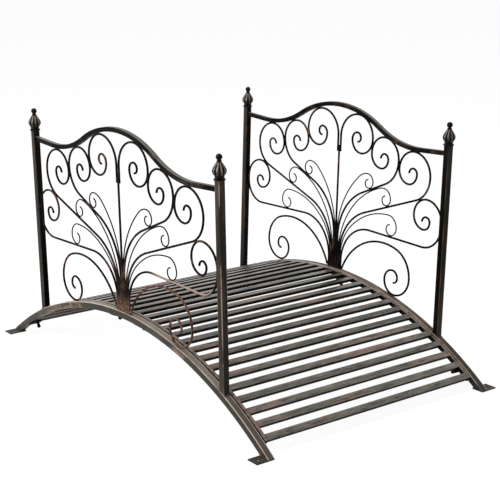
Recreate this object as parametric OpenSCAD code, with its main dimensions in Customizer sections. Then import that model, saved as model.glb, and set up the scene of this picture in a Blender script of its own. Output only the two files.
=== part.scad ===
// Moon bridge: a small arched garden footbridge of welded steel.
// X runs along the walk, Y across it, Z up. The origin is on the ground under mid-span.
// Left is -Y, right is +Y, far is -X and near is +X.

/* [Arches and feet] */
// Radius of the upper face of the two arched bottom rails
arch_r = 841; // [800:1:900]
// Height of the walking surface above the ground at mid-span
crown_z = 172; // [150:1:190]
// Side of the square tube of the arches
arch_tube = 15; // [12:0.5:18]
// Distance between the centre lines of the two arches
track = 600; // [500:5:800]
// Thickness of the foot plates
foot_t = 3; // [2:0.5:5]
// Length of a foot plate along the walk
foot_l = 30; // [24:1:40]
// How far a foot plate reaches out beyond its arch
foot_reach = 28; // [20:1:40]
// Diameter of the peg hole in a foot plate
peg_d = 7; // [5:0.5:9]

/* [Railing frame] */
// Distance between the post centres along the walk
post_span = 712; // [680:2:740]
// Side of the square tube of the posts
post_tube = 15; // [12:0.5:18]
// Height of the post tops above the ground
post_top = 524; // [510:1:560]
// Outward lean of each railing in degrees
lean = 1.5; // [0:0.1:4]
// Side of the square tube of the top rail
rail_tube = 10; // [8:0.5:13]
// Height of the top rail's upper face at its crest
rail_crest_z = 577; // [565:1:590]
// Height of the top rail's upper face at its dips
rail_dip_z = 506.5; // [498:0.5:514]
// Distance from a post's centre to the dip of the top rail
dip_inset = 94; // [80:1:110]
// Centre-line radius of the top rail's crest
crest_r = 275; // [250:1:320]
// Upward slope of the top rail where it meets a post, in degrees
rail_end_slope = 3; // [0:0.5:6]

/* [Finials] */
// Radius of the cap disc that closes the post
cap_r = 12.3; // [11:0.1:14]
// Thickness of the cap disc
cap_t = 2.4; // [1.5:0.1:4]
// Radius of the cup under the bulb
cup_r = 9.7; // [8:0.1:11]
// Height of the cup under the bulb
cup_h = 5; // [4:0.5:8]
// Largest radius of the finial's bulb
bulb_r = 13.4; // [11:0.1:16]
// Height of the bulb above its cup
bulb_h = 30; // [26:1:36]
// Radius of the collar between the bulb and the ball
collar_r = 5; // [4:0.1:6]
// Thickness of the collar
collar_t = 1.8; // [1:0.1:3]
// Radius of the ball on top
ball_r = 6.6; // [5.5:0.1:8]

/* [Scrolls] */
// Diameter of the scroll bars and of the stem
bar_d = 4.5; // [3.5:0.1:5.5]
// Diameter of the thin leaf bars
leaf_d = 2.4; // [2:0.1:3]
// Height of the top of the stem
stem_top = 474; // [460:1:485]
// Length over which a crest scroll lies along the stem
crest_lap = 14.5; // [8:0.5:30]
// Quarter-turn radii of the crest scroll, from the stem to its eye
crest_turns = [58, 52, 38.5, 31, 17, 12, 10]; // [6:0.5:70]
// Quarter-turn radii of the upper scroll, from its back to its eye
upper_turns = [48, 41.5, 32.5, 23, 12.5, 12]; // [6:0.5:70]
// Quarter-turn radii of the shoulder scroll, from its back to its eye
shoulder_turns = [52.5, 45.5, 31, 25.5, 12.5, 12]; // [6:0.5:70]
// Quarter-turn radii of the side scroll, from its back to its eye
side_turns = [47.5, 38.5, 31.5, 18.5, 11.5, 12]; // [6:0.5:70]
// Quarter-turn radii of the base scroll, from its outer side to its eye
base_turns = [47, 33, 25, 17, 12]; // [6:0.5:70]
// Radius of the base scroll's long rise
base_rise_r = 150; // [130:1:165]
// Radius of the base scroll's outer shoulder
base_shoulder_r = 66; // [50:1:75]
// How far the long rise runs on past its crest, in degrees
base_over = 17; // [5:1:30]

/* [Scroll stalks] */
// Slope of the upper scroll's stalk, in degrees from the vertical
upper_slope = 66.5; // [60:0.5:72]
// Bend radius where the upper scroll runs into its stalk
upper_bend_r = 65; // [55:1:72]
// Bend radius where the upper scroll's stalk turns down into the bundle
upper_root_r = 132; // [115:1:145]
// Slope of the shoulder scroll's stalk, in degrees from the vertical
shoulder_slope = 70.5; // [66:0.5:75]
// Bend radius where the shoulder scroll runs into its stalk
shoulder_bend_r = 60; // [50:1:68]
// Bend radius where the shoulder scroll's stalk turns down into the bundle
shoulder_root_r = 124; // [110:1:135]
// Bend radius where the side scroll turns in from the post
side_bend_r = 55; // [45:1:62]
// Length over which the side scroll lies along the post
side_lap = 8; // [2:1:20]
// Slope of the side scroll's stalk, in degrees from the vertical
side_slope = 91.5; // [88:0.5:94]
// Bend radius where the side scroll's stalk turns down into the bundle
side_root_r = 93; // [80:1:105]
// How far the bars sit outside the middle plane of their railing
bar_out = 3; // [0:0.5:3]

/* [Leaves] */
// Quarter-turn radii of the inner leaf, from its top to its eye
inner_leaf_turns = [19, 15, 11, 9]; // [4:1:40]
// Distance of the inner leaf's seat down the upper stalk from its bend
inner_leaf_back = 54; // [35:1:75]
// Radius of the inner leaf's long rise
inner_leaf_rise_r = 205; // [190:1:210]
// Radius of the bend at the inner leaf's top
inner_leaf_top_r = 42; // [30:1:60]
// Quarter-turn radii of the middle leaf, from its top to its eye
middle_leaf_turns = [24, 14, 12, 10]; // [4:1:40]
// Radius of the middle leaf's long rise, which touches the upper stalk
middle_leaf_rise_r = 192; // [180:1:196]
// How far the middle leaf's long rise turns over, in degrees
middle_leaf_turn = 73; // [70:0.5:76]
// Radius of the bend at the middle leaf's top
middle_leaf_top_r = 40; // [30:1:50]
// Quarter-turn radii of the outer leaf, from its top to its eye
outer_leaf_turns = [28, 19, 14, 11]; // [4:1:40]
// Distance of the outer leaf's seat down the side stalk from its bend
outer_leaf_back = 103; // [80:1:125]
// Radius of the outer leaf's long rise
outer_leaf_rise_r = 115; // [105:1:125]
// Radius of the bend at the outer leaf's top
outer_leaf_top_r = 180; // [150:1:220]

/* [Deck] */
// Number of slats
slat_count = 30; // [24:2:32]
// Width of a slat along the walk
slat_w = 16; // [12:0.5:22]
// Thickness of a slat
slat_t = 7; // [4:0.5:8]
// Distance between slat centres along the walk
slat_pitch = 34.1; // [30:0.1:34.5]
// Width of the deck's side bars
deck_bar_w = 8; // [6:0.5:12]
// Depth of the deck's side bars
deck_bar_h = 11; // [10:0.5:14]
// Gap between a deck side bar and its arch
deck_gap = 3.3; // [2:0.1:6]
// Places of the deck brackets, in degrees along the arch from mid-span
bracket_at = [3.4, 31.3]; // [2:0.1:33]
// Length of a bracket along the arch
bracket_l = 22; // [16:1:30]
// Thickness of a bracket
bracket_t = 3; // [2:0.5:5]
// Diameter of the deck studs
stud_d = 5; // [4:0.5:6]
// Diameter of the round nuts under the brackets
nut_d = 9; // [8:0.5:12]

/* [Clearances] */
// Room left for the weld between pieces that touch
weld = 0.2; // [0.1:0.05:0.4]
// Room left for the weld where a leaning bar stands on its arch
stand_gap = 0.4; // [0.3:0.05:0.6]
// Play of a stud in its bracket hole, on the diameter
stud_play = 0.6; // [0.2:0.1:1]
// How far the weld ring at a joint of two bent lengths stands out from the bar
ring_step = 0.05; // [0.03:0.01:0.1]
// Length of the weld ring at a joint of two bent lengths
ring_l = 1; // [0.6:0.1:1.5]
// Root gap between two bent lengths inside their weld ring
ring_gap = 0.2; // [0.1:0.05:0.3]

/* [Hidden] */
$fn = 64;
long_arc_fn = 720;

// Sides of the bridge and ends of the walk
left = -1;
right = 1;
far = -1;
near = 1;

// Finishes
bronze = [0.16, 0.13, 0.11];
bronze_light = [0.36, 0.33, 0.30];

// Arch: its centre lies below the ground on the Z axis
arch_cz = crown_z - arch_r;
arch_low_r = arch_r - arch_tube;
arch_end_angle = acos((foot_t - arch_cz) / arch_r);
arch_spare_angle = 2;
arch_tip_x = arch_r * sin(arch_end_angle);

// Railing frame
post_x = post_span / 2;
post_face = post_x - post_tube / 2;
foot_z = arch_cz + sqrt(arch_r * arch_r - post_x * post_x);
foot_sink = 40;

// Finial: heights above the post and the outline of its bulb
bulb_steps = 14;
bulb_low = cap_t + cup_h;
neck_r = ball_r / 2;
ball_z = bulb_low + bulb_h + collar_t + root(ball_r * ball_r - neck_r * neck_r);
function bulb_swell(t) = sin(180 * pow(t, 0.62));
function bulb_point(t) = [
  cup_r * (1 - t) * 0.9 + neck_r * t + (bulb_r - cup_r * 0.75) * bulb_swell(t),
  bulb_low + bulb_h * t
];

// Top rail centre line: a crest arc, a dip arc on each side, a straight end to each post
dip_x = post_x - dip_inset;
rail_fall = rail_crest_z - rail_dip_z;
rail_slope = 2 * atan(rail_fall / dip_x);
dip_r = dip_x / sin(rail_slope) - crest_r;
crest_c = [0, rail_crest_z - rail_tube / 2 - crest_r];
dip_c = [dip_x, rail_dip_z - rail_tube / 2 + dip_r];
rail_under_crest = crest_r - rail_tube / 2;
rail_under_dip = dip_r + rail_tube / 2;

// Side by side places of the bars in the bundle on the crown
bar_pitch = bar_d + weld;
half_pitch = (bar_d + leaf_d) / 2 + weld;
inner_leaf_x = half_pitch;
upper_x = 2 * half_pitch;
middle_leaf_x = 3 * half_pitch;
shoulder_x = 4 * half_pitch;
outer_leaf_x = 5 * half_pitch;
side_x = 6 * half_pitch;

// Plane geometry in a railing: [along the walk, height]
function aim(a) = [cos(a), sin(a)];
function root(v) = sqrt(max(0, v));
function arch_top(x) = arch_cz + sqrt(arch_r * arch_r - x * x);

// Point at distance ra from a and rb from b, on the right of the way from a to b
function meet(a, ra, b, rb) =
  let (d = norm(b - a), u = (b - a) / d, t = (ra * ra - rb * rb + d * d) / (2 * d))
  a + t * u + root(ra * ra - t * t) * [-u[1], u[0]];

// Centres of a chain of quarter turns with these radii, the first one starting at angle a
function turn_centres(c, r, a, way, k = 0) =
  k == len(r) - 1 ? [c]
  : concat([c], turn_centres(c + (r[k] - r[k + 1]) * aim(a + way * 90 * (k + 1)), r, a, way, k + 1));

// Stalk line: where its upper bend ends, and the way that it points up and outward
function bend_centre(back, r) = back - [r, 0];
function bend_end(back, r, slope) = bend_centre(back, r) + r * aim(-slope);
function up_line(slope) = [sin(slope), cos(slope)];
function above_line(slope) = [-cos(slope), sin(slope)];

// Crest scroll: rises along the stem and touches the crest of the rail from below
crest_eye_x = bar_pitch + crest_turns[0];
crest_touch = rail_under_crest - crest_turns[1] - bar_d / 2 - weld;
crest_c1 = [crest_eye_x, crest_c[1] + root(crest_touch * crest_touch - crest_eye_x * crest_eye_x)];
crest_c0 = crest_c1 - [0, crest_turns[0] - crest_turns[1]];
crest_c2 = crest_c1 + [crest_turns[1] - crest_turns[2], 0];

// Upper scroll: touches the rail's dip arc and the crest scroll
upper_step = [0, upper_turns[0] - upper_turns[1]];
upper_c0 = meet(dip_c, rail_under_dip + upper_turns[0] + bar_d / 2 + weld,
                crest_c2 - upper_step, crest_turns[2] + upper_turns[1] + bar_pitch);
upper_back = upper_c0 + [upper_turns[0], 0];
upper_bend_c = bend_centre(upper_back, upper_bend_r);
upper_bend_end = bend_end(upper_back, upper_bend_r, upper_slope);

// Shoulder scroll: touches the rail's dip arc and the back of the upper scroll
shoulder_step = [0, shoulder_turns[0] - shoulder_turns[1]];
shoulder_c0 = meet(dip_c, rail_under_dip + shoulder_turns[0] + bar_d / 2 + weld,
                   upper_bend_c - shoulder_step, upper_bend_r + shoulder_turns[1] + bar_pitch);
shoulder_back = shoulder_c0 + [shoulder_turns[0], 0];
shoulder_bend_c = bend_centre(shoulder_back, shoulder_bend_r);
shoulder_bend_end = bend_end(shoulder_back, shoulder_bend_r, shoulder_slope);

// Side scroll: lies along the post and touches the bend of the shoulder scroll's stalk
side_back_x = post_face - bar_d / 2 - weld;
side_eye_x = side_back_x - side_turns[0];
side_touch = shoulder_bend_r + side_turns[1] + bar_pitch;
side_off = side_eye_x - shoulder_bend_c[0];
side_c1 = [side_eye_x, shoulder_bend_c[1] - root(side_touch * side_touch - side_off * side_off)];
side_c0 = side_c1 - [0, side_turns[0] - side_turns[1]];
side_back = side_c0 + [side_turns[0], 0];
side_foot = side_back - [0, side_lap];
side_bend_end = bend_end(side_foot, side_bend_r, side_slope);

// Base scroll: stands beside the bundle, arches over and rests on the arch
base_start_x = side_x + bar_pitch;
base_lower_r = base_turns[0];
base_rest = arch_r + base_lower_r + bar_d / 2 + weld;
base_reach = (base_rise_r - base_shoulder_r) * sin(base_over) + base_shoulder_r - base_lower_r;
base_lift = (base_rise_r - base_shoulder_r) * cos(base_over);
base_foot_lift = bar_d / 2;
// Half of the long rise's chord is found by stepping from the crown's place to the rest
function base_rise_x(z) = base_start_x + root(base_rise_r * base_rise_r - z * z);
function base_foot_gap(lift) =
  let (x = base_rise_x(lift), eye = [x + base_reach, arch_top(base_start_x) + base_foot_lift - lift + base_lift])
  norm(eye - [0, arch_cz]) - base_rest;
function base_solve(lo, hi, n) =
  let (mid = (lo + hi) / 2)
  n == 0 ? mid : base_foot_gap(mid) > 0 ? base_solve(mid, hi, n - 1) : base_solve(lo, mid, n - 1);
base_halvings = 30;
base_sink = base_solve(0, base_rise_r, base_halvings);
base_rise_c = [base_rise_x(base_sink), arch_top(base_start_x) + base_foot_lift - base_sink];
base_foot_angle = 180 - asin(base_sink / base_rise_r);
base_shoulder_c = base_rise_c + (base_rise_r - base_shoulder_r) * aim(90 - base_over);
base_eye_c = base_shoulder_c + [base_shoulder_r - base_lower_r, 0];

// Inner leaf: its curl rests on the upper scroll's stalk
inner_seat = upper_bend_end - inner_leaf_back * up_line(upper_slope)
             + (inner_leaf_turns[1] + half_pitch) * above_line(upper_slope);
inner_leaf_c0 = inner_seat - [inner_leaf_turns[0] - inner_leaf_turns[1], 0];

// Middle leaf: its rise touches the upper scroll's stalk and its curl rests on the shoulder scroll's
middle_touch_n = above_line(upper_slope);
middle_rise_x = middle_leaf_x + middle_leaf_rise_r;
middle_rise_z = upper_bend_end[1] - (middle_leaf_rise_r + half_pitch
                + middle_touch_n[0] * (middle_rise_x - upper_bend_end[0])) / middle_touch_n[1];
middle_leaf_c0 = [middle_rise_x, middle_rise_z]
                 + (middle_leaf_rise_r - middle_leaf_top_r) * aim(180 - middle_leaf_turn)
                 + [0, middle_leaf_top_r - middle_leaf_turns[0]];
middle_rest_n = above_line(shoulder_slope);
middle_rest_r = (middle_rest_n * (middle_leaf_c0 - shoulder_bend_end)
                 + middle_leaf_turns[0] * middle_rest_n[0] - half_pitch) / (1 + middle_rest_n[0]);
middle_turns = [middle_leaf_turns[0], middle_rest_r, middle_leaf_turns[2], middle_leaf_turns[3]];

// Outer leaf: its curl rests on the side scroll's stalk
outer_seat = side_bend_end - outer_leaf_back * up_line(side_slope)
             + (outer_leaf_turns[1] + half_pitch) * above_line(side_slope);
outer_leaf_c0 = outer_seat - [outer_leaf_turns[0] - outer_leaf_turns[1], 0];

// Deck
slat_angle = slat_pitch / arch_r * 180 / PI;
slat_first = -(slat_count - 1) / 2 * slat_angle;
slat_group = slat_count / 3;
deck_bar_y = track / 2 - arch_tube / 2 - deck_gap - deck_bar_w / 2;
slat_l = 2 * deck_bar_y - deck_bar_w;
deck_end_angle = -slat_first + slat_w / 2 / arch_r * 180 / PI;
deck_low_r = arch_r - deck_bar_h;
bracket_top_r = min(arch_low_r, deck_low_r) - weld;
bracket_in = deck_bar_y - deck_bar_w / 2 - nut_d / 2 - weld;
bracket_out = track / 2 + arch_tube / 4;
stud_head_d = deck_bar_w;
nut_neck_d = (stud_d + nut_d) / 2;
nut_drop = nut_d;

// A round bar bent to an arc in the plane of the railing
module arc_bar(c, r, a, sweep, d) {
  short = ring_gap / r * 90 / PI;
  translate([c[0], 0, c[1]])
    rotate([90, 0, 0])
      rotate([0, 0, min(a, a + sweep) + short])
        rotate_extrude(angle = abs(sweep) - 2 * short)
          translate([r, 0])
            circle(d = d);
}

// The weld ring where a bent length ends, at angle a of its arc
module weld_ring(c, r, a, d) {
  p = c + r * aim(a);
  way = aim(a + 90);
  translate([p[0], 0, p[1]])
    rotate([0, atan2(way[0], way[1]), 0])
      cylinder(d = d + 2 * ring_step, h = ring_l, center = true);
}

// A straight round bar between two points of the railing's plane
module rod(from, to, d) {
  way = to - from;
  translate([from[0], 0, from[1]])
    rotate([0, atan2(way[0], way[1]), 0])
      cylinder(d = d, h = norm(way));
}

// A curl of quarter turns
module curl(c, turns, a, way, d) {
  centres = turn_centres(c, turns, a, way);
  for (k = [0 : len(turns) - 1]) {
    arc_bar(centres[k], turns[k], a + way * 90 * k, way * 90, d);
    weld_ring(centres[k], turns[k], a + way * 90 * k, d);
  }
}

// The stalk of a scroll: a bend, a straight run, a root bend and an upright end in the bundle
module stalk(back, bend_r, slope, root_r, x) {
  bend_c = bend_centre(back, bend_r);
  from = bend_end(back, bend_r, slope);
  run = (back[0] - x - (bend_r + root_r) * (1 - cos(slope))) / sin(slope);
  to = from - run * up_line(slope);
  root_c = to - root_r * aim(180 - slope);
  arc_bar(bend_c, bend_r, 0, -slope, bar_d);
  weld_ring(bend_c, bend_r, -slope, bar_d);
  rod(from, to, bar_d);
  weld_ring(root_c, root_r, 180 - slope, bar_d);
  arc_bar(root_c, root_r, 180 - slope, slope, bar_d);
  weld_ring(root_c, root_r, 180, bar_d);
  rod([x, arch_top(x) + stand_gap], [x, root_c[1]], bar_d);
}

// A leaf that rises from the bundle in two arcs and ends in a curl
module leaf(c, turns, rise_r, top_r, x) {
  top = c + [0, turns[0]];
  turned = acos((rise_r - top[0] + x) / (rise_r - top_r));
  top_c = top - [0, top_r];
  rise_c = top_c - (rise_r - top_r) * aim(180 - turned);
  rod([x, arch_top(x) + stand_gap], [x, rise_c[1]], leaf_d);
  weld_ring(rise_c, rise_r, 180, leaf_d);
  arc_bar(rise_c, rise_r, 180, -turned, leaf_d);
  weld_ring(rise_c, rise_r, 180 - turned, leaf_d);
  arc_bar(top_c, top_r, 180 - turned, turned - 90, leaf_d);
  curl(c, turns, 90, -1, leaf_d);
}

// Stands a piece made in the X-Z plane in one railing, with its lean
module in_railing(side) {
  translate([0, side * track / 2, foot_z])
    rotate([-side * lean, 0, 0])
      translate([0, 0, -foot_z])
        children();
}

// A pair of like pieces, one on each side of the middle of a railing
module pair(side) {
  color(bronze)
    in_railing(side)
      translate([0, side * bar_out, 0])
        for (end = [far, near])
          mirror([end == far ? 1 : 0, 0, 0])
            children();
}

// A curved bar of rectangular section along the arch
module along_arch(top_r, depth, width, half_angle) {
  translate([0, 0, arch_cz])
    rotate([90, 0, 0])
      rotate([0, 0, 90 - half_angle])
        rotate_extrude(angle = 2 * half_angle, $fn = long_arc_fn)
          translate([top_r - depth, -width / 2])
            square([depth, width]);
}

// Places a piece at an angle along the arch, with Z pointing out from the arch's centre
module at_arch(angle) {
  translate([0, 0, arch_cz])
    rotate([0, angle, 0])
      children();
}

module arch(side) {
  color(bronze_light)
    intersection() {
      translate([0, side * track / 2, 0])
        along_arch(arch_r, arch_tube, arch_tube, arch_end_angle + arch_spare_angle);
      translate([-arch_r, -track, foot_t])
        cube([2 * arch_r, 2 * track, arch_r]);
    }
}

module foot(side, end) {
  y_in = track / 2 - arch_tube / 2;
  y_out = track / 2 + arch_tube / 2 + foot_reach;
  peg_y = track / 2 + arch_tube / 2 + foot_reach / 2;
  color(bronze)
    mirror([end == far ? 1 : 0, 0, 0])
      mirror([0, side == left ? 1 : 0, 0])
        difference() {
          translate([arch_tip_x - foot_l, y_in, 0])
            cube([foot_l, y_out - y_in, foot_t]);
          translate([arch_tip_x - foot_l / 2, peg_y, -foot_t])
            cylinder(d = peg_d, h = 3 * foot_t);
        }
}

module post(side, end) {
  color(bronze)
    difference() {
      in_railing(side)
        translate([end * post_x - post_tube / 2, -post_tube / 2, foot_z - foot_sink])
          cube([post_tube, post_tube, post_top - foot_z + foot_sink]);
      translate([0, 0, arch_cz])
        rotate([90, 0, 0])
          cylinder(r = arch_r + weld, h = 2 * track, center = true, $fn = long_arc_fn);
    }
}

// Half section of a finial: a cap disc, a cup, a drop-shaped bulb, a collar and a ball
module finial_section() {
  square([cap_r, cap_t]);
  square([cup_r - cap_t / 2, cap_t + cup_h]);
  translate([0, cap_t + cup_h / 2])
    square([cup_r, cup_h / 2]);
  polygon(concat(
    [[0, bulb_low]],
    [for (k = [0 : bulb_steps]) bulb_point(k / bulb_steps)],
    [[0, bulb_low + bulb_h]]
  ));
  translate([0, bulb_low + bulb_h])
    square([collar_r, collar_t]);
  square([neck_r, ball_z]);
  intersection() {
    translate([0, ball_z])
      circle(r = ball_r);
    translate([0, ball_z - ball_r])
      square([ball_r, 2 * ball_r]);
  }
}

module finial(side, end) {
  color(bronze)
    in_railing(side)
      translate([end * post_x, 0, post_top + weld])
        rotate_extrude()
          finial_section();
}

// A square tube bent to an arc in the plane of the railing
module arc_tube(c, r, a, sweep) {
  short = ring_gap / r * 90 / PI;
  translate([c[0], 0, c[1]])
    rotate([90, 0, 0])
      rotate([0, 0, a + short])
        rotate_extrude(angle = sweep - 2 * short, $fn = long_arc_fn)
          translate([r - rail_tube / 2, -rail_tube / 2])
            square(rail_tube);
}

// The weld collar where a bent length of square tube ends, at angle a of its arc
module weld_collar(c, r, a) {
  p = c + r * aim(a);
  way = aim(a + 90);
  side = rail_tube + 2 * ring_step;
  translate([p[0], 0, p[1]])
    rotate([0, atan2(way[0], way[1]), 0])
      cube([side, side, ring_l], center = true);
}

module top_rail(side) {
  end_angle = 270 + rail_end_slope;
  from = dip_c + dip_r * aim(end_angle);
  past = post_x - from[0];
  color(bronze)
    in_railing(side)
      intersection() {
        union() {
          arc_tube(crest_c, crest_r, 90 - rail_slope, 2 * rail_slope);
          for (m = [0, 1])
            mirror([m, 0, 0]) {
              weld_collar(crest_c, crest_r, 90 - rail_slope);
              arc_tube(dip_c, dip_r, 270 - rail_slope, rail_slope + rail_end_slope);
              weld_collar(dip_c, dip_r, end_angle);
              translate([from[0], 0, from[1]])
                rotate([0, -rail_end_slope, 0])
                  translate([0, -rail_tube / 2, -rail_tube / 2])
                    cube([past, rail_tube, rail_tube]);
            }
        }
        translate([-post_face, -rail_tube, 0])
          cube([2 * post_face, 2 * rail_tube, rail_crest_z + rail_tube]);
      }
}

module stem(side) {
  color(bronze)
    in_railing(side)
      translate([0, side * bar_out, 0])
        rod([0, crown_z + stand_gap], [0, stem_top], bar_d);
}

module crest_scrolls(side) {
  pair(side) {
    rod([bar_pitch, stem_top - crest_lap], [bar_pitch, crest_c0[1]], bar_d);
    curl(crest_c0, crest_turns, 180, -1, bar_d);
  }
}

module upper_scrolls(side) {
  pair(side) {
    curl(upper_c0, upper_turns, 0, 1, bar_d);
    stalk(upper_back, upper_bend_r, upper_slope, upper_root_r, upper_x);
  }
}

module shoulder_scrolls(side) {
  pair(side) {
    curl(shoulder_c0, shoulder_turns, 0, 1, bar_d);
    stalk(shoulder_back, shoulder_bend_r, shoulder_slope, shoulder_root_r, shoulder_x);
  }
}

module side_scrolls(side) {
  pair(side) {
    curl(side_c0, side_turns, 0, 1, bar_d);
    rod(side_foot, side_back, bar_d);
    weld_ring(bend_centre(side_foot, side_bend_r), side_bend_r, 0, bar_d);
    stalk(side_foot, side_bend_r, side_slope, side_root_r, side_x);
  }
}

module base_scrolls(side) {
  pair(side) {
    arc_bar(base_rise_c, base_rise_r, base_foot_angle, 90 - base_over - base_foot_angle, bar_d);
    weld_ring(base_rise_c, base_rise_r, 90 - base_over, bar_d);
    arc_bar(base_shoulder_c, base_shoulder_r, 90 - base_over, base_over - 90, bar_d);
    curl(base_eye_c, base_turns, 0, -1, bar_d);
  }
}

module inner_leaves(side) {
  pair(side)
    leaf(inner_leaf_c0, inner_leaf_turns, inner_leaf_rise_r, inner_leaf_top_r, inner_leaf_x);
}

module middle_leaves(side) {
  pair(side)
    leaf(middle_leaf_c0, middle_turns, middle_leaf_rise_r, middle_leaf_top_r, middle_leaf_x);
}

module outer_leaves(side) {
  pair(side)
    leaf(outer_leaf_c0, outer_leaf_turns, outer_leaf_rise_r, outer_leaf_top_r, outer_leaf_x);
}

module deck_bar(side) {
  color(bronze_light)
    translate([0, side * deck_bar_y, 0])
      along_arch(arch_r, deck_bar_h, deck_bar_w, deck_end_angle);
}

module slats(group) {
  color(bronze_light)
    for (k = [group * slat_group : (group + 1) * slat_group - 1])
      at_arch(slat_first + k * slat_angle)
        translate([-slat_w / 2, -slat_l / 2, arch_r - slat_t])
          cube([slat_w, slat_l, slat_t]);
}

// Repeats a piece at each bracket's place under one side of the deck
module at_brackets(side) {
  mirror([0, side == left ? 1 : 0, 0])
    for (end = [far, near], angle = bracket_at)
      at_arch(end * angle)
        children();
}

module brackets(side) {
  color(bronze)
    at_brackets(side)
      difference() {
        translate([-bracket_l / 2, bracket_in, bracket_top_r - bracket_t])
          cube([bracket_l, bracket_out - bracket_in, bracket_t]);
        translate([0, deck_bar_y, bracket_top_r - 2 * bracket_t])
          cylinder(d = stud_d + stud_play, h = 3 * bracket_t);
      }
}

// A stud under the deck bar that passes through a bracket and carries a round nut
module bolts(side) {
  head_top = deck_low_r - weld;
  head_low = bracket_top_r + weld;
  nut_top = bracket_top_r - bracket_t - weld;
  nut_z = nut_top - nut_drop;
  color(bronze)
    at_brackets(side)
      translate([0, deck_bar_y, 0]) {
        translate([0, 0, head_low])
          cylinder(d = stud_head_d, h = head_top - head_low);
        translate([0, 0, nut_z])
          cylinder(d = stud_d, h = head_low - nut_z);
        translate([0, 0, nut_z])
          cylinder(d = nut_neck_d, h = nut_top - nut_z);
        translate([0, 0, nut_z])
          sphere(d = nut_d);
      }
}

arch(left);  // left_arch
arch(right);  // right_arch
foot(left, near);  // left_near_foot
foot(left, far);  // left_far_foot
foot(right, near);  // right_near_foot
foot(right, far);  // right_far_foot
post(left, near);  // left_near_post
post(left, far);  // left_far_post
post(right, near);  // right_near_post
post(right, far);  // right_far_post
finial(left, near);  // left_near_finial
finial(left, far);  // left_far_finial
finial(right, near);  // right_near_finial
finial(right, far);  // right_far_finial
top_rail(left);  // left_top_rail
top_rail(right);  // right_top_rail
stem(left);  // left_stem
stem(right);  // right_stem
crest_scrolls(left);  // left_crest_scrolls
crest_scrolls(right);  // right_crest_scrolls
upper_scrolls(left);  // left_upper_scrolls
upper_scrolls(right);  // right_upper_scrolls
shoulder_scrolls(left);  // left_shoulder_scrolls
shoulder_scrolls(right);  // right_shoulder_scrolls
side_scrolls(left);  // left_side_scrolls
side_scrolls(right);  // right_side_scrolls
base_scrolls(left);  // left_base_scrolls
base_scrolls(right);  // right_base_scrolls
inner_leaves(left);  // left_inner_leaves
inner_leaves(right);  // right_inner_leaves
middle_leaves(left);  // left_middle_leaves
middle_leaves(right);  // right_middle_leaves
outer_leaves(left);  // left_outer_leaves
outer_leaves(right);  // right_outer_leaves
deck_bar(left);  // left_deck_bar
deck_bar(right);  // right_deck_bar
slats(0);  // far_slats
slats(1);  // crown_slats
slats(2);  // near_slats
brackets(left);  // left_brackets
brackets(right);  // right_brackets
bolts(left);  // left_bolts
bolts(right);  // right_bolts
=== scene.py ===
import math

import bmesh
import bpy
from mathutils import Matrix, Vector, noise
from mathutils.bvhtree import BVHTree


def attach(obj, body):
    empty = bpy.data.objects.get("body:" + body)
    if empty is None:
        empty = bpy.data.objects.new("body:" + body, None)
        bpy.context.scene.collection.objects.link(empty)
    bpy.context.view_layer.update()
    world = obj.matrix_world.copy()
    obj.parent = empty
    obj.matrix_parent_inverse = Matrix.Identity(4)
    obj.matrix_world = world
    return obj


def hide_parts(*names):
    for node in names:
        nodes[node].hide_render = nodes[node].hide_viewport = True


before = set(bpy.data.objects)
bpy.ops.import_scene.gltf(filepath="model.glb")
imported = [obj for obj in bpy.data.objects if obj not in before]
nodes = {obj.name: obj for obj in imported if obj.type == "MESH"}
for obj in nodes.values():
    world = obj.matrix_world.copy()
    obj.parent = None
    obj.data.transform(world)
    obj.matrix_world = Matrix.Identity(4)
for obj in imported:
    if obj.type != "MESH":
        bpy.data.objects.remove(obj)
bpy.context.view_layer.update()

MM = 0.001
SIDES = (("left", -1), ("right", 1))
ENDS = (("near", 1), ("far", -1))

# Sizes that the solids use, in millimetres, and how far the railings lean out
ARCH_R = 841.0
CROWN_Z = 172.0
ARCH_TUBE = 15.0
TRACK = 600.0
POST_X = 356.0
POST_TUBE = 15.0
POST_TOP = 524.0
LEAN = math.radians(1.5)
SLAT_COUNT = 30
SLAT_W = 16.0
SLAT_PITCH = 34.1
DECK_BAR_W = 8.0
DECK_GAP = 3.3
ARCH_CZ = CROWN_Z - ARCH_R
FOOT_Z = ARCH_CZ + math.sqrt(ARCH_R ** 2 - POST_X ** 2)
SLAT_END_Y = TRACK / 2 - ARCH_TUBE / 2 - DECK_GAP - DECK_BAR_W

# Rolled corners and coats of paint, in millimetres
POST_CORNER = 1.4
RAIL_CORNER = 1.0
DECK_CORNER = 0.7
FOOT_CORNER = 0.5
BRACKET_CORNER = 0.4
SCROLL_COAT = 0.2
LEAF_COAT = 0.3

# Corners sharper than these angles stay sharp or are rolled, in degrees
TUBE_SHARP = 30
BAR_SHARP = 40
ROLL_SHARP = 40
ROLL_SEGMENTS = 3

# A face looks up where the Z of its normal is more than this; faces of the walk that don't look up get
# painted shade
LOOKS_UP = 0.3

# How far from an arch's upper corner its painted highlight starts and is full, in metres
CORNER_START = 0.0021
CORNER_FULL = 0.0009

# How far from the middle the painted darker reflection at an arch's end starts and is full, in metres
ARCH_END_START = 0.34
ARCH_END_FULL = 0.4

# How deep the grain of the paint is, and how close points are joined before a roll, in metres
GRAIN_DEPTH = 0.0004
JOIN_WITHIN = 1e-5

# How brush marks are stretched: a small number draws them out along that axis
EVEN = (1, 1, 1)
UP_A_POST = (1.0, 1.0, 0.16)
ALONG_ARCH = (0.3, 1.0, 0.6)
ALONG_RAIL = (0.35, 1.0, 0.6)
ON_A_FOOT = (0.6, 0.6, 0.6)
ON_AN_EDGE = (0.35, 0.35, 0.35)
ALONG_SLAT = (1.0, 0.16, 1.0)
NO_SHIFT = (0, 0, 0)

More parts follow.
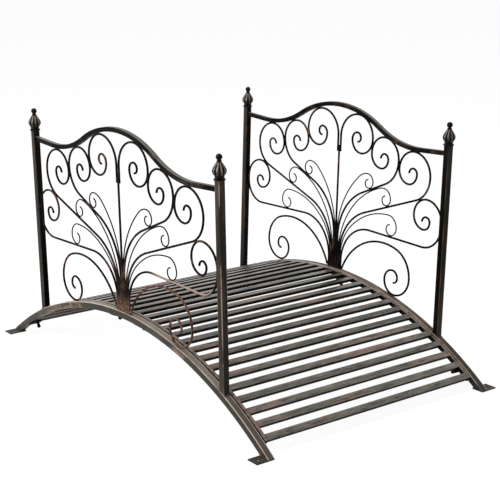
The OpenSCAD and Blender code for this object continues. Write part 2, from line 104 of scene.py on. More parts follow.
# Colours of wear and of painted light: bare edges, also used as a painted highlight on a side scroll's
# stalk; a painted highlight along the arches' upper corners; a painted darker reflection at the arches'
# ends
BARE_EDGE_AND_STALK_HIGHLIGHT = (0.42, 0.31, 0.245)
ARCH_CORNER_HIGHLIGHT = (0.6, 0.475, 0.395)
ARCH_END_REFLECTION = (0.04, 0.036, 0.03)

# Material slots of a rolled piece: the rolled edge, and painted shade on faces that don't look up; and the
# colour sockets of a Mix node
EDGE_SLOT = 1
UNDER_SHADE_SLOT = 2
MIX_A, MIX_B, MIX_RESULT = 6, 7, 2


# Materials

class Paint:
    """A node material with a few helpers for brushed paint."""

    def __init__(self, name, spec):
        self.mat = bpy.data.materials.new(name)
        self.mat.use_nodes = True
        self.tree = self.mat.node_tree
        self.bsdf = self.tree.nodes["Principled BSDF"]
        self.bsdf.inputs["Specular IOR Level"].default_value = spec
        self.coord = self.node("ShaderNodeTexCoord")

    def node(self, kind, **values):
        made = self.tree.nodes.new(kind)
        for key, value in values.items():
            setattr(made, key, value)
        return made

    def link(self, a, b):
        self.tree.links.new(a, b)

    def noise(self, scale, stretch=EVEN, detail=4.0, rough=0.55, warp=0.0, shift=NO_SHIFT):
        place = self.node("ShaderNodeMapping")
        place.inputs["Scale"].default_value = stretch
        place.inputs["Location"].default_value = shift
        self.link(self.coord.outputs["Object"], place.inputs["Vector"])
        tex = self.node("ShaderNodeTexNoise")
        tex.inputs["Scale"].default_value = scale
        tex.inputs["Detail"].default_value = detail
        tex.inputs["Roughness"].default_value = rough
        tex.inputs["Distortion"].default_value = warp
        self.link(place.outputs["Vector"], tex.inputs["Vector"])
        return tex.outputs["Fac"]

    def span(self, value, low, high, to_low=0.0, to_high=1.0):
        """A smooth step from to_low to to_high as the value goes from low to high."""
        made = self.node("ShaderNodeMapRange", interpolation_type="SMOOTHSTEP")
        made.inputs["From Min"].default_value = low
        made.inputs["From Max"].default_value = high
        made.inputs["To Min"].default_value = to_low
        made.inputs["To Max"].default_value = to_high
        self.link(value, made.inputs["Value"])
        return made.outputs["Result"]

    def maths(self, operation, a, b):
        made = self.node("ShaderNodeMath", operation=operation)
        for socket, value in zip(made.inputs, (a, b)):
            if isinstance(value, (int, float)):
                socket.default_value = value
            else:
                self.link(value, socket)
        return made.outputs["Value"]

    def mix(self, factor, a, b):
        """Colour a where the factor is 0, and b where it is 1."""
        made = self.node("ShaderNodeMix", data_type="RGBA")
        self.link(factor, made.inputs["Factor"])
        for socket, value in ((made.inputs[MIX_A], a), (made.inputs[MIX_B], b)):
            if isinstance(value, tuple):
                socket.default_value = (*value, 1.0)
            else:
                self.link(value, socket)
        return made.outputs[MIX_RESULT]

    def place(self):
        """The place on the bridge, as X, Y and Z in metres."""
        parts = self.node("ShaderNodeSeparateXYZ")
        self.link(self.coord.outputs["Object"], parts.inputs["Vector"])
        return parts.outputs

    def face(self):
        """The direction that a face looks in, as X, Y and Z."""
        geo = self.node("ShaderNodeNewGeometry")
        parts = self.node("ShaderNodeSeparateXYZ")
        self.link(geo.outputs["True Normal"], parts.inputs["Vector"])
        return parts.outputs

    def upward(self, low, high):
        """1 on faces that look up, 0 on those that look sideways or down."""
        return self.span(self.face()["Z"], low, high)

    def facing(self, axis, sign):
        """1 on faces that look along this axis."""
        return self.span(self.maths("MULTIPLY", self.face()[axis], sign), 0.6, 0.9)

    def where(self, axis, low, high, both_sides=False):
        """0 below a place on this axis and 1 above it, in metres."""
        value = self.place()[axis]
        if both_sides:
            value = self.maths("ABSOLUTE", value, 0)
        return self.span(value, low, high)

    def within(self, *masks):
        """The product of these masks."""
        value = masks[0]
        for mask in masks[1:]:
            value = self.maths("MULTIPLY", value, mask)
        return value

    def against(self, mask):
        """The opposite of a mask."""
        return self.maths("SUBTRACT", 1.0, mask)

    def part(self, mask, strength):
        """A mask at part of its strength."""
        return self.maths("MULTIPLY", mask, strength)

    def arch_corner(self):
        """1 along the upper corners of the arches, where a highlight is painted."""
        at = self.place()
        along = self.maths("POWER", at["X"], 2.0)
        up = self.maths("POWER", self.maths("SUBTRACT", at["Z"], ARCH_CZ * MM), 2.0)
        radius = self.maths("SQRT", self.maths("ADD", along, up), 0.0)
        across = self.maths("SUBTRACT", self.maths("ABSOLUTE", at["Y"], 0.0), TRACK / 2 * MM)
        half = ARCH_TUBE / 2 * MM
        top = ARCH_R * MM
        side = self.span(self.maths("ABSOLUTE", across, 0.0), half - CORNER_START, half - CORNER_FULL)
        return self.within(side, self.span(radius, top - CORNER_START, top - CORNER_FULL))

    def finish(self, colour, rough_low, rough_high, bump, bump_scale, stretch=EVEN):
        """Sets the colour, a cloudy roughness and a fine grain."""
        self.link(colour, self.bsdf.inputs["Base Color"])
        cloud = self.noise(60, stretch, 3.0)
        self.link(self.span(cloud, 0.3, 0.7, rough_low, rough_high), self.bsdf.inputs["Roughness"])
        grain = self.noise(bump_scale, stretch, 2.0)
        relief = self.node("ShaderNodeBump")
        relief.inputs["Strength"].default_value = bump
        relief.inputs["Distance"].default_value = GRAIN_DEPTH
        self.link(grain, relief.inputs["Height"])
        self.link(relief.outputs["Normal"], self.bsdf.inputs["Normal"])
        return self.mat


def frame_paint(name, stretch, copper_low, shift=NO_SHIFT, top=(0.085, 0.074, 0.061),
                dark=(0.0066, 0.0056, 0.0045), pale=(0.036, 0.0305, 0.024), spec=0.08, lit_face=None,
                copper=(0.125, 0.077, 0.056), arch=False):
    """Dark bronze paint on a tube, with copper streaks and painted light on its top faces; some posts get
    painted light on one face, and the arches a painted corner highlight and a painted darker reflection at
    their ends.
    """
    p = Paint(name, spec)
    cloud = p.span(p.noise(14, stretch, 5.0, 0.6, 0.4, shift), 0.4, 0.7)
    body = p.mix(cloud, dark, pale)
    # Painted light: faces that look up get the paler top colour
    body = p.mix(p.upward(0.45, 0.8), body, top)
    # Painted light on the face of a post that looks towards the lamp, in patches
    if lit_face:
        axis, sign, colour = lit_face
        light_patches = p.span(p.noise(20, stretch, 5.0, 0.6, 0.3, shift), 0.25, 0.6)
        body = p.mix(p.within(p.facing(axis, sign), light_patches), body, colour)
    streak = p.span(p.noise(48, stretch, 6.0, 0.65, 0.2, shift), copper_low, copper_low + 0.2)
    patch = p.span(p.noise(9, stretch, 3.0, 0.5, 0.3, shift), 0.42, 0.66)
    body = p.mix(p.within(streak, patch), body, copper)
    if arch:
        # Painted darker reflection towards both ends of the arch
        ends = p.where("X", ARCH_END_START, ARCH_END_FULL, both_sides=True)
        body = p.mix(p.part(ends, 0.65), body, ARCH_END_REFLECTION)
        # Painted highlight along the arch's upper corners, in patches
        light_patches = p.span(p.noise(40, stretch, 5.0, 0.65, 0.3, shift), 0.3, 0.55)
        body = p.mix(p.within(p.arch_corner(), light_patches), body, ARCH_CORNER_HIGHLIGHT)
    speck = p.span(p.noise(420, stretch, 2.0), 0.62, 0.75)
    body = p.mix(p.part(speck, 0.25), body, (0.12, 0.09, 0.07))
    return p.finish(body, 0.34, 0.52, 0.16, 650, stretch)


def shaded_post(name, shift, lit_face):
    """Painted shade: the post paint made darker for a post in shade, with painted light on one face."""
    return frame_paint(name, UP_A_POST, 0.5, shift, top=(0.05, 0.043, 0.035), dark=(0.0016, 0.0013, 0.001),
                       pale=(0.0115, 0.0094, 0.0072), spec=0.03, lit_face=lit_face)


def edge_paint(name, stretch, light=BARE_EDGE_AND_STALK_HIGHLIGHT, shade_below=False):
    """A rolled corner, bare of paint in places; on the walk, painted shade where it doesn't look up."""
    p = Paint(name, 0.08)
    wear = p.span(p.noise(26, stretch, 6.0, 0.65, 0.3), 0.42, 0.68)
    body = p.mix(wear, (0.018, 0.0135, 0.0105), light)
    # Painted shade: rolled corners that don't look up are painted near-black
    if shade_below:
        body = p.mix(p.upward(0.3, 0.7), (0.004, 0.0032, 0.0026), body)
    return p.finish(body, 0.32, 0.5, 0.15, 700, stretch)


def scroll_paint(name, copper_low, shift, copper=(0.17, 0.093, 0.065), near_copper=0.0, stalk=False):
    """Near-black paint on a bar, with copper patches, a copper foot at the left bundle and, on the side
    scrolls, a painted highlight on the upper side of the stalk.
    """
    p = Paint(name, 0.04)
    left = p.against(p.where("Y", -0.05, 0.05))
    near_left = p.within(p.where("X", 0.03, 0.1), left)
    low = p.against(p.where("Z", 0.18, 0.225))
    middle = p.within(p.where("X", -0.05, -0.02), p.against(p.where("X", 0.03, 0.05)))
    cloud = p.span(p.noise(10, EVEN, 4.0, 0.6, 0.3, shift), 0.45, 0.75)
    body = p.mix(cloud, (0.0022, 0.0016, 0.0013), (0.0105, 0.007, 0.0052))
    patch = p.span(p.noise(13, EVEN, 4.0, 0.55, 0.6, shift), copper_low, copper_low + 0.13)
    fine = p.span(p.noise(130, EVEN, 5.0, 0.7, 0.2, shift), 0.34, 0.62)
    body = p.mix(p.part(p.within(patch, fine), 0.9), body, copper)
    if near_copper:
        body = p.mix(p.part(p.within(near_left, fine), near_copper), body, copper)
    body = p.mix(p.part(p.within(low, middle, fine, left), 0.95), body, (0.22, 0.125, 0.088))
    # Painted highlight on the upper side of the stalk near the left, where light falls
    if stalk:
        level = p.against(p.where("Z", 0.285, 0.31))
        upper_side = p.within(near_left, p.where("X", 0.1, 0.15), level, p.upward(-0.5, 0.3))
        body = p.mix(p.part(upper_side, 0.85), body, BARE_EDGE_AND_STALK_HIGHLIGHT)
    return p.finish(body, 0.28, 0.46, 0.14, 800)


def deck_paint(name, copper_low, dark=(0.064, 0.0625, 0.0535), pale=(0.114, 0.1045, 0.0875),
               shift=NO_SHIFT):
    """Brushed paint on the walk with copper patches: painted light makes both ends paler and painted shade
    makes the right darker.
    """
    p = Paint(name, 0.35)
    # Painted light at the far and near ends, and painted shade to the right
    far = p.against(p.where("X", -0.22, 0.17))
    near = p.where("X", 0.2, 0.42)
    right = p.within(p.where("Y", -0.02, 0.25), p.against(near))
    cloud = p.span(p.noise(30, ALONG_SLAT, 5.0, 0.6, 0.3, shift), 0.36, 0.66)
    body = p.mix(cloud, dark, pale)
    body = p.mix(p.part(far, 0.75), body, (0.27, 0.244, 0.204))
    body = p.mix(p.part(near, 0.65), body, (0.175, 0.163, 0.137))
    body = p.mix(p.part(right, 0.65), body, (0.017, 0.0155, 0.0133))
    patch = p.span(p.noise(15, (1.0, 0.34, 1.0), 4.0, 0.55, 0.5, shift), copper_low, copper_low + 0.14)
    fine = p.span(p.noise(160, ALONG_SLAT, 5.0, 0.7, 0.0, shift), 0.28, 0.6)
    body = p.mix(p.within(patch, fine), body, (0.27, 0.176, 0.137))
    streak = p.span(p.noise(300, (1.0, 0.08, 1.0), 4.0, 0.65), 0.5, 0.6)
    body = p.mix(p.part(streak, 0.8), body, (0.02, 0.0175, 0.0145))
    rub = p.span(p.noise(230, (1.0, 0.09, 1.0), 4.0, 0.65, 0.2, (0.6, 0.2, 1.4)), 0.53, 0.64)
    body = p.mix(p.part(rub, 0.7), body, (0.29, 0.235, 0.19))
    return p.finish(body, 0.25, 0.4, 0.14, 700, ALONG_SLAT)


def under_shade_paint(name):
    """Painted shade: dull black on what looks sideways or down under the walk."""
    p = Paint(name, 0.06)
    cloud = p.span(p.noise(22, (1, 0.3, 1), 4.0), 0.4, 0.7)
    body = p.mix(cloud, (0.0022, 0.0018, 0.0015), (0.006, 0.0046, 0.0038))
    return p.finish(body, 0.5, 0.68, 0.12, 700)


def weld_paint(name):
    """Brown paint on a weld bead, rubbed to copper in places."""
    p = Paint(name, 0.4)
    cloud = p.span(p.noise(90, EVEN, 4.0), 0.38, 0.66)
    body = p.mix(cloud, (0.02, 0.0155, 0.0125), (0.15, 0.10, 0.075))
    return p.finish(body, 0.3, 0.5, 0.2, 900)


def finial_paint(name, dark, pale, spec):
    """Glossy paint on a finial, with painted shade from its cap up to the lower part of the bulb."""
    p = Paint(name, spec)
    # Painted shade: the lower part of the finial is painted near-black
    low = p.against(p.where("Z", 0.536, 0.546))
    cloud = p.span(p.noise(70, (1, 1, 0.6), 5.0, 0.6, 0.3), 0.45, 0.75)
    body = p.mix(cloud, dark, pale)
    fine = p.span(p.noise(260, (1, 1, 0.5), 5.0, 0.7), 0.56, 0.72)
    body = p.mix(p.part(fine, 0.4), body, (0.15, 0.095, 0.07))
    body = p.mix(low, body, (0.0035, 0.0027, 0.0022))
    return p.finish(body, 0.16, 0.3, 0.08, 900)


# The near left post gets the lit paint; the other three get painted shade, with painted light on one face
post_mat = frame_paint("post_paint", UP_A_POST, 0.48)
left_far_mat = shaded_post("left_far_post_paint", (0.4, 1.2, 0.7), ("Y", -1, (0.046, 0.042, 0.0375)))
right_far_mat = shaded_post("right_far_post_paint", (0.9, 0.3, 1.6), ("Y", -1, (0.034, 0.029, 0.0235)))
right_near_mat = shaded_post("right_near_post_paint", (1.8, 0.7, 0.2), ("X", 1, (0.052, 0.043, 0.0325)))
# Painted light and shade: the left arch gets a paler copy of the paint, the right arch a darker one
left_arch_mat = frame_paint("left_arch_paint", ALONG_ARCH, 0.46, (0.7, 0.2, 0.4),
                            top=(0.205, 0.182, 0.154), dark=(0.034, 0.031, 0.0245),
                            pale=(0.084, 0.077, 0.062), copper=(0.32, 0.205, 0.155), arch=True)
right_arch_mat = frame_paint("right_arch_paint", ALONG_ARCH, 0.46, (1.1, 0.8, 0.2),
                             top=(0.072, 0.064, 0.053), dark=(0.012, 0.0104, 0.008),
                             pale=(0.03, 0.0258, 0.0205), copper=(0.22, 0.135, 0.1), arch=True)
rail_mat = frame_paint("rail_paint", ALONG_RAIL, 0.5, (1.3, 0.6, 0.1), top=(0.15, 0.142, 0.128),
                       dark=(0.0016, 0.0014, 0.0011), pale=(0.0085, 0.007, 0.0053), spec=0.03)
foot_mat = frame_paint("foot_paint", ON_A_FOOT, 0.5, (2.1, 0.3, 0.8), top=(0.05, 0.044, 0.038))
edge_mat = edge_paint("rubbed_edge", ON_AN_EDGE)
# Painted shade: the rolled edges of the three posts in shade are darker than the lit post's
shaded_post_edge_mat = edge_paint("dark_edge", ON_AN_EDGE, (0.12, 0.078, 0.057))
rail_edge_mat = edge_paint("rail_edge", (0.35, 1.0, 0.5), (0.26, 0.215, 0.18))
deck_mat = deck_paint("deck_top_paint", 0.5)
deck_bar_mat = deck_paint("deck_bar_paint", 0.36, dark=(0.08, 0.06, 0.049), pale=(0.16, 0.112, 0.089),
                          shift=(0.3, 1.1, 0.6))
deck_edge_mat = edge_paint("deck_edge", (1.0, 0.12, 1.0), (0.26, 0.2, 0.163), shade_below=True)
under_shade_mat = under_shade_paint("deck_under_shade")
scroll_mat = scroll_paint("scroll_paint_a", 0.56, NO_SHIFT)
side_scroll_mat = scroll_paint("scroll_paint_b", 0.54, (1.7, 0.4, 0.9), stalk=True)
base_scroll_mat = scroll_paint("scroll_paint_c", 0.54, (0.9, 1.4, 0.3), copper=(0.2, 0.112, 0.078),
                               near_copper=0.9)
leaf_mat = scroll_paint("leaf_paint", 0.58, (0.5, 2.2, 1.1))
weld_mat = weld_paint("weld_paint")
finial_mat = finial_paint("finial_paint", (0.0014, 0.0011, 0.0009), (0.006, 0.0043, 0.0034), 0.08)
# Painted highlights: the crests of the finial's ribs get a much paler paint than the grooves
rib_highlight_mat = finial_paint("finial_rib_highlight", (0.12, 0.095, 0.078), (0.42, 0.34, 0.28), 0.5)


# Paint, rolled corners and coats on the CAD nodes

# The end of a node's name, its corner, and its paint: body, rolled edge and painted shade on what doesn't
# look up
ROLLED = (
    ("left_near_post", POST_CORNER, post_mat, edge_mat),
    ("left_far_post", POST_CORNER, left_far_mat, shaded_post_edge_mat),
    ("right_far_post", POST_CORNER, right_far_mat, shaded_post_edge_mat),
    ("right_near_post", POST_CORNER, right_near_mat, shaded_post_edge_mat),
    ("_top_rail", RAIL_CORNER, rail_mat, rail_edge_mat),
    ("_foot", FOOT_CORNER, foot_mat, edge_mat),
    ("_brackets", BRACKET_CORNER, under_shade_mat, under_shade_mat),
    ("_slats", DECK_CORNER, deck_mat, deck_edge_mat, under_shade_mat),
    ("_deck_bar", DECK_CORNER, deck_bar_mat, deck_edge_mat, under_shade_mat),
)

# The end of a node's name, its paint, the angle that stays sharp and its coat. The last row is for the rest
SMOOTHED = (
    ("left_arch", left_arch_mat, TUBE_SHARP, None),
    ("right_arch", right_arch_mat, TUBE_SHARP, None),
    ("_bolts", under_shade_mat, TUBE_SHARP, None),
    ("_leaves", leaf_mat, BAR_SHARP, LEAF_COAT),
    ("_base_scrolls", base_scroll_mat, BAR_SHARP, SCROLL_COAT),
    ("_side_scrolls", side_scroll_mat, BAR_SHARP, SCROLL_COAT),
    ("", scroll_mat, BAR_SHARP, SCROLL_COAT),
)


def set_materials(obj, mats):
    """Puts the first material all over, and a third one, painted shade, on faces that don't look up."""
    obj.data.materials.clear()
    for mat in mats:
        obj.data.materials.append(mat)
    has_under_shade = len(mats) > UNDER_SHADE_SLOT
    for poly in obj.data.polygons:
        looks_up = poly.normal.z > LOOKS_UP
        poly.material_index = UNDER_SHADE_SLOT if has_under_shade and not looks_up else 0


def shade_smooth(obj):
    obj.data.polygons.foreach_set("use_smooth", [True] * len(obj.data.polygons))


def rounded(obj, width):
    """Rolls the sharp corners of a tube, bar or plate."""
    join = obj.modifiers.new("join", "WELD")
    join.merge_threshold = JOIN_WITHIN
    roll = obj.modifiers.new("roll", "BEVEL")
    roll.width = width * MM
    roll.segments = ROLL_SEGMENTS
    roll.limit_method = "ANGLE"
    roll.angle_limit = math.radians(ROLL_SHARP)
    roll.material = EDGE_SLOT
    roll.harden_normals = True
    shade_smooth(obj)


def coated(obj, thickness):
    """A coat of paint on a thin bar, in millimetres."""
    coat = obj.modifiers.new("paint_coat", "DISPLACE")
    coat.mid_level = 0.0
    coat.strength = thickness * MM


def dress(name, obj):
    """Gives a CAD node its paint, with rolled corners or smooth sides."""
    for ending, corner, *mats in ROLLED:
        if name.endswith(ending):
            set_materials(obj, mats)
            rounded(obj, corner)
            return
    for ending, mat, sharp, coat in SMOOTHED:
        if name.endswith(ending):
            set_materials(obj, [mat])
            shade_smooth(obj)
            obj.data.set_sharp_from_angle(angle=math.radians(sharp))
            if coat:
                coated(obj, coat)
            return


for node_name, node in nodes.items():
    dress(node_name, node)


# Places in a railing and on the arch

def in_railing(side, x, z):
    """A point of a railing's own plane, in metres in the bridge's frame."""
    up = z - FOOT_Z
    turn = -side * LEAN
    y = side * TRACK / 2 - up * math.sin(turn)
    return Vector((x * MM, y * MM, (FOOT_Z + up * math.cos(turn)) * MM))


def railing_turn(side):
    return Matrix.Rotation(-side * LEAN, 3, "X")


def on_arch(angle, y, lift):
    """A point above the arch's top line, in metres in the bridge's frame."""
    r = ARCH_R + lift
    return Vector((r * math.sin(angle) * MM, y * MM, (ARCH_CZ + r * math.cos(angle)) * MM))


def new_piece(name, bm, mat):
    mesh = bpy.data.meshes.new(name)
    bm.to_mesh(mesh)
    bm.free()
    obj = bpy.data.objects.new(name, mesh)
    bpy.context.scene.collection.objects.link(obj)
    obj.data.materials.append(mat)
    shade_smooth(obj)
    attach(obj, "root")
    return obj


# Fluted finials, in millimetres above the post's top

FLUTES = 10
RIB_STEPS = 10
RIB_TOP = (3, 4, 5, 6)
RIB_HIGHLIGHT_SLOT = 1
RIB_DEPTH = 0.3
AROUND = FLUTES * RIB_STEPS
FLUTE_DEPTH = 2.1
FLUTE_START = 0.12
FLUTE_SWELL = 0.6
FLUTE_CREASE = 0.8
BULB_R = 14.3
BALL_R = 6.6
BALL_Z = 44.9
BALL_STEPS = 9
BALL_START = -58
BALL_TURN = 148

# Outlines as radius and height
CAP = ((0.0, 0.0), (11.2, 0.0), (11.9, 0.6), (12.0, 1.6), (11.8, 2.7), (11.0, 3.3))
NECK = ((9.4, 3.5), (9.0, 4.2), (9.0, 5.0))
CUP = ((9.7, 5.5), (10.0, 6.3), (9.8, 7.2), (9.2, 7.7))
BULB = ((9.6, 8.2), (11.2, 10.0), (12.7, 12.2), (13.8, 14.8), (BULB_R, 17.2), (BULB_R, 19.2), (13.7, 21.6),
        (12.4, 24.4), (10.6, 27.4), (8.7, 30.4), (7.0, 33.0), (5.7, 35.0), (4.7, 36.6))
COLLAR = ((4.7, 37.2), (5.0, 37.8), (4.7, 38.4), (3.9, 38.8))


def flute_depth(k, r):
    """Flutes start shallow at the cup, deepen and run out at the collar."""
    t = k / (len(BULB) - 1)
    along = min(1.0, FLUTE_START + (1 - FLUTE_START) * t)
    return FLUTE_DEPTH * math.sin(math.pi * along) ** FLUTE_SWELL * (r / BULB_R)


def finial_profile():
    """Radius, height and flute depth up the finial."""
    rows = [(r, z, 0) for r, z in CAP + NECK + CUP]
    rows += [(r, z, flute_depth(k, r)) for k, (r, z) in enumerate(BULB)]
    rows += [(r, z, 0) for r, z in COLLAR]
    for k in range(BALL_STEPS):
        a = math.radians(BALL_START + BALL_TURN * k / BALL_STEPS)
        rows.append((BALL_R * math.cos(a), BALL_Z + BALL_R * math.sin(a), 0))
    rows.append((0.0, BALL_Z + BALL_R, 0))
    return rows


def fluted_point(r, z, depth, k):
    """Point k around the finial, in metres, set in where a flute runs."""
    a = 2 * math.pi * k / AROUND
    rib = abs(math.sin(FLUTES * a / 2))
    rr = r - depth * (1 - rib ** FLUTE_CREASE)
    return rr * math.cos(a) * MM, rr * math.sin(a) * MM, z * MM


def finial(name, side, end):
    """A fluted finial in place of the turned one on this post."""
    bm = bmesh.new()
    rings = []
    for r, z, depth in finial_profile():
        points = AROUND if r else 1
        ring = [bm.verts.new(fluted_point(r, z, depth, k)) for k in range(points)]
        rings.append((ring, depth > RIB_DEPTH))
    for (low, low_ribbed), (high, high_ribbed) in zip(rings, rings[1:]):
        ribbed = low_ribbed and high_ribbed
        for k in range(AROUND):
            j = (k + 1) % AROUND
            if len(low) == 1:
                bm.faces.new((low[0], high[j], high[k]))
            elif len(high) == 1:
                bm.faces.new((low[k], low[j], high[0]))
            else:
                face = bm.faces.new((low[k], low[j], high[j], high[k]))
                # The crests of the ribs take the paint with the painted highlights
                if ribbed and k % RIB_STEPS in RIB_TOP:
                    face.material_index = RIB_HIGHLIGHT_SLOT
    bmesh.ops.recalc_face_normals(bm, faces=bm.faces)
    turn = railing_turn(side).to_4x4()
    bm.transform(Matrix.Translation(in_railing(side, end * POST_X, POST_TOP)) @ turn)
    obj = new_piece(name, bm, finial_mat)
    obj.data.materials.append(rib_highlight_mat)
    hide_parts(name.replace("_fluted", ""))


for side_name, side in SIDES:
    for end_name, end in ENDS:
        finial(f"{side_name}_{end_name}_finial_fluted", side, end)


# Weld beads: half lengths, steps and lifts in millimetres

LUMP_HEIGHT = 0.16
LUMP_SCALE = 1.7
LUMP_SHIFT = (3.1, 1.7, 0.9)
BEAD_SHAPE = (1.0, 0.9, 0.8)
SLAT_BEAD = (4.2, 1.1, 0.55)
SLAT_BEAD_SHARE = 0.24
SLAT_BEAD_LIFT = -0.1
POST_BEAD = (1.7, 2.3, 1.5)
POST_BEADS = 5
POST_BEAD_STEP = 3.0
POST_BEAD_OFF = 0.4
POST_BEAD_LIFT = 0.3
BAR_BEAD = 1.7
RAIL_BEAD = 1.9
ARCH_BEAD = 2.0
SIDE_BEAD = (1.6, 2.2, 2.0)
SIDE_BEAD_STEP = 2.2
MIDDLE_CLEAR = 4.0

# Nodes of a railing that touch each other, and the bead there
TOUCHING = (
    ("crest_scrolls", "upper_scrolls", BAR_BEAD),
    ("upper_scrolls", "shoulder_scrolls", BAR_BEAD),
    ("shoulder_scrolls", "side_scrolls", BAR_BEAD),
    ("crest_scrolls", "top_rail", RAIL_BEAD),
    ("upper_scrolls", "top_rail", RAIL_BEAD),
    ("shoulder_scrolls", "top_rail", RAIL_BEAD),
    ("base_scrolls", "arch", ARCH_BEAD),
)


def bead(bm, at, turn, half, seed):
    """A lumpy bead with these half lengths."""
    made = bmesh.ops.create_icosphere(bm, subdivisions=2, radius=1.0)
    shift = Vector([seed * s for s in LUMP_SHIFT])
    for v in made["verts"]:
        lump = 1.0 + LUMP_HEIGHT * noise.noise(v.co * LUMP_SCALE + shift)
        local = Vector([c * h * lump for c, h in zip(v.co, half)])
        v.co = at + turn @ local * MM


def slat_welds(side_name, side):
    """Two beads at the end of each slat."""
    bm = bmesh.new()
    step = SLAT_PITCH / ARCH_R
    for k in range(SLAT_COUNT):
        angle = (k - (SLAT_COUNT - 1) / 2) * step
        turn = Matrix.Rotation(angle, 3, "Y")
        for half in (-1, 1):
            shift = half * SLAT_W * SLAT_BEAD_SHARE / ARCH_R
            at = on_arch(angle + shift, side * SLAT_END_Y, SLAT_BEAD_LIFT)
            bead(bm, at, turn, SLAT_BEAD, k * 2 + half)
    new_piece(f"{side_name}_slat_welds", bm, weld_mat)


def post_welds(side_name, side):
    """A row of beads on both sides of each post's foot."""
    bm = bmesh.new()
    for end in (-1, 1):
        for face in (-1, 1):
            x = end * POST_X + face * (POST_TUBE / 2 + POST_BEAD_OFF)
            angle = math.asin(x / ARCH_R)
            turn = Matrix.Rotation(angle, 3, "Y")
            for k in range(POST_BEADS):
                y = side * TRACK / 2 + (k - POST_BEADS // 2) * POST_BEAD_STEP
                bead(bm, on_arch(angle, y, POST_BEAD_LIFT), turn, POST_BEAD, end * 40 + face * 10 + k)
    new_piece(f"{side_name}_post_welds", bm, weld_mat)


def nearest_spot(a, b, end):
    """The middle of the narrowest gap between two nodes on one side of the railing's middle."""
    points = [v.co for v in b.data.vertices]
    faces = [list(f.vertices) for f in b.data.polygons]
    tree = BVHTree.FromPolygons(points, faces)
    best = None
    for v in a.data.vertices:
        if v.co.x * end < MIDDLE_CLEAR * MM:
            continue
        co, _, _, dist = tree.find_nearest(v.co)
        if best is None or dist < best[0]:
            best = (dist, (v.co + co) / 2)
    return best[1]


def scroll_welds(side_name, side):
    """Small beads where the bars of a railing touch, and three where a side scroll meets its post."""
    bm = bmesh.new()
    turn = railing_turn(side)
    for k, (a, b, half) in enumerate(TOUCHING):
        for end in (-1, 1):
            at = nearest_spot(nodes[f"{side_name}_{a}"], nodes[f"{side_name}_{b}"], end)
            bead(bm, at, turn, [half * s for s in BEAD_SHAPE], k * 2 + end)
    for end_name, end in ENDS:
        at = nearest_spot(nodes[f"{side_name}_side_scrolls"], nodes[f"{side_name}_{end_name}_post"], end)
        for lift in (-SIDE_BEAD_STEP, 0.0, SIDE_BEAD_STEP):
            spot = at + turn @ Vector((0, 0, lift * MM))
            bead(bm, spot, turn, SIDE_BEAD, 60 + end * 3 + lift)
    new_piece(f"{side_name}_scroll_welds", bm, weld_mat)


for side_name, side in SIDES:
    slat_welds(side_name, side)
    post_welds(side_name, side)
    scroll_welds(side_name, side)


# Floor and light

FLOOR_HALF = 30.0
FLOOR_LIT = 0.8
FLOOR_SEEN = 0.2
FLOOR_GLOW = 0.9
WORLD_LIT = 0.36
WORLD_SEEN = 1.0


def seen_rays(tree):
    """1 for the rays that show the background: camera, glossy and transmission rays."""
    path = tree.nodes.new("ShaderNodeLightPath")
    rays = path.outputs["Is Camera Ray"]
    for kind in ("Is Glossy Ray", "Is Transmission Ray"):
        either = tree.nodes.new("ShaderNodeMath")
        either.operation = "MAXIMUM"
        tree.links.new(rays, either.inputs[0])
        tree.links.new(path.outputs[kind], either.inputs[1])
        rays = either.outputs[0]
    return rays


def show(tree, out, lit, seen):
    """Uses one shader for light on the object, and the other where the background is seen."""
    pick = tree.nodes.new("ShaderNodeMixShader")
    tree.links.new(seen_rays(tree), pick.inputs["Fac"])
    tree.links.new(lit.outputs[0], pick.inputs[1])
    tree.links.new(seen.outputs[0], pick.inputs[2])
    tree.links.new(pick.outputs[0], out.inputs["Surface"])


def dull_grey(tree, level):
    made = tree.nodes.new("ShaderNodeBsdfDiffuse")
    made.inputs["Color"].default_value = (level, level, level, 1)
    return made


def white_sky(tree, strength):
    made = tree.nodes.new("ShaderNodeBackground")
    made.inputs["Color"].default_value = (1, 1, 1, 1)
    made.inputs["Strength"].default_value = strength
    return made


def floor_paint():
    """Pale to the light, white to the eye, with the object's shadow on it."""
    mat = bpy.data.materials.new("floor_white")
    mat.use_nodes = True
    tree = mat.node_tree
    tree.nodes.clear()
    out = tree.nodes.new("ShaderNodeOutputMaterial")
    glow = tree.nodes.new("ShaderNodeEmission")
    glow.inputs["Strength"].default_value = FLOOR_GLOW
    seen = tree.nodes.new("ShaderNodeAddShader")
    tree.links.new(dull_grey(tree, FLOOR_SEEN).outputs[0], seen.inputs[0])
    tree.links.new(glow.outputs[0], seen.inputs[1])
    show(tree, out, dull_grey(tree, FLOOR_LIT), seen)
    return mat


def stage_floor():
    mesh = bpy.data.meshes.new("floor")
    corners = [(x * FLOOR_HALF, y * FLOOR_HALF, 0) for x, y in ((-1, -1), (1, -1), (1, 1), (-1, 1))]
    mesh.from_pydata(corners, [], [(0, 1, 2, 3)])
    obj = bpy.data.objects.new("floor", mesh)
    bpy.context.scene.collection.objects.link(obj)
    obj.data.materials.append(floor_paint())


def world_light():
    world = bpy.data.worlds.new("studio")
    bpy.context.scene.world = world
    world.use_nodes = True
    tree = world.node_tree
    tree.nodes.clear()
    out = tree.nodes.new("ShaderNodeOutputWorld")
    show(tree, out, white_sky(tree, WORLD_LIT), white_sky(tree, WORLD_SEEN))


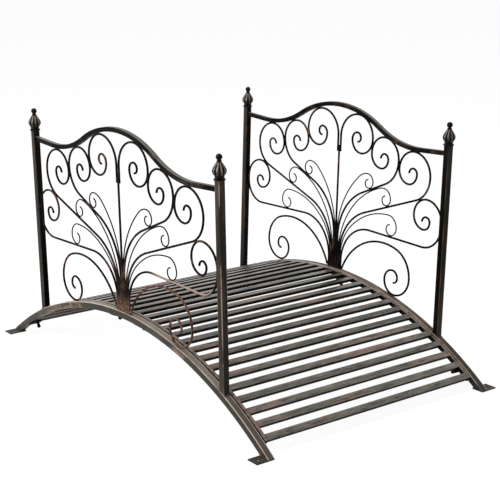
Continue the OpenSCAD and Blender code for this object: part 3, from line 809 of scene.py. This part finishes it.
def softbox(name, at, aim, size, watts):
    """A soft lamp, with its place, aim and size in metres."""
    lamp = bpy.data.lights.new(name, "AREA")
    lamp.shape = "RECTANGLE"
    lamp.size, lamp.size_y = size
    lamp.energy = watts
    obj = bpy.data.objects.new(name, lamp)
    obj.location = at
    obj.rotation_mode = "QUATERNION"
    obj.rotation_quaternion = (Vector(aim) - Vector(at)).to_track_quat("-Z", "Y")
    bpy.context.scene.collection.objects.link(obj)


# The camera that the photograph was taken with, found from the posts and finials

CAMERA_AT = (2.2780, -1.7456, 1.0197)
CAMERA_AZIMUTH = math.radians(51.88)
CAMERA_ELEVATION = math.radians(14.77)
CAMERA_ROLL = math.radians(0.244)
FOCAL_PX = 1292.7
FRAME_PX = 500.0
SENSOR_MM = 36.0
CLIP_START = 0.05
CLIP_END = 200.0


def photo_camera():
    level = math.cos(CAMERA_ELEVATION)
    back = Vector((
        math.sin(CAMERA_AZIMUTH) * level,
        -math.cos(CAMERA_AZIMUTH) * level,
        math.sin(CAMERA_ELEVATION),
    ))
    right = (-back).cross(Vector((0, 0, 1))).normalized()
    up = right.cross(-back)
    turned_right = right * math.cos(CAMERA_ROLL) + up * math.sin(CAMERA_ROLL)
    turned_up = up * math.cos(CAMERA_ROLL) - right * math.sin(CAMERA_ROLL)
    data = bpy.data.cameras.new("photo_camera")
    data.sensor_width = SENSOR_MM
    data.lens = FOCAL_PX / FRAME_PX * SENSOR_MM
    data.clip_start = CLIP_START
    data.clip_end = CLIP_END
    obj = bpy.data.objects.new("photo_camera", data)
    turn = Matrix((turned_right, turned_up, back)).transposed()
    obj.matrix_world = Matrix.Translation(Vector(CAMERA_AT)) @ turn.to_4x4()
    bpy.context.scene.collection.objects.link(obj)
    bpy.context.scene.camera = obj


stage_floor()
world_light()
softbox("over_light", at=(-0.6, -0.9, 3.2), aim=(0, 0, 0.2), size=(2.6, 2.2), watts=58)
softbox("left_light", at=(-0.8, -3.0, 1.6), aim=(0, 0, 0.3), size=(1.6, 1.4), watts=64)
photo_camera()
bpy.context.scene.view_settings.view_transform = "Standard"
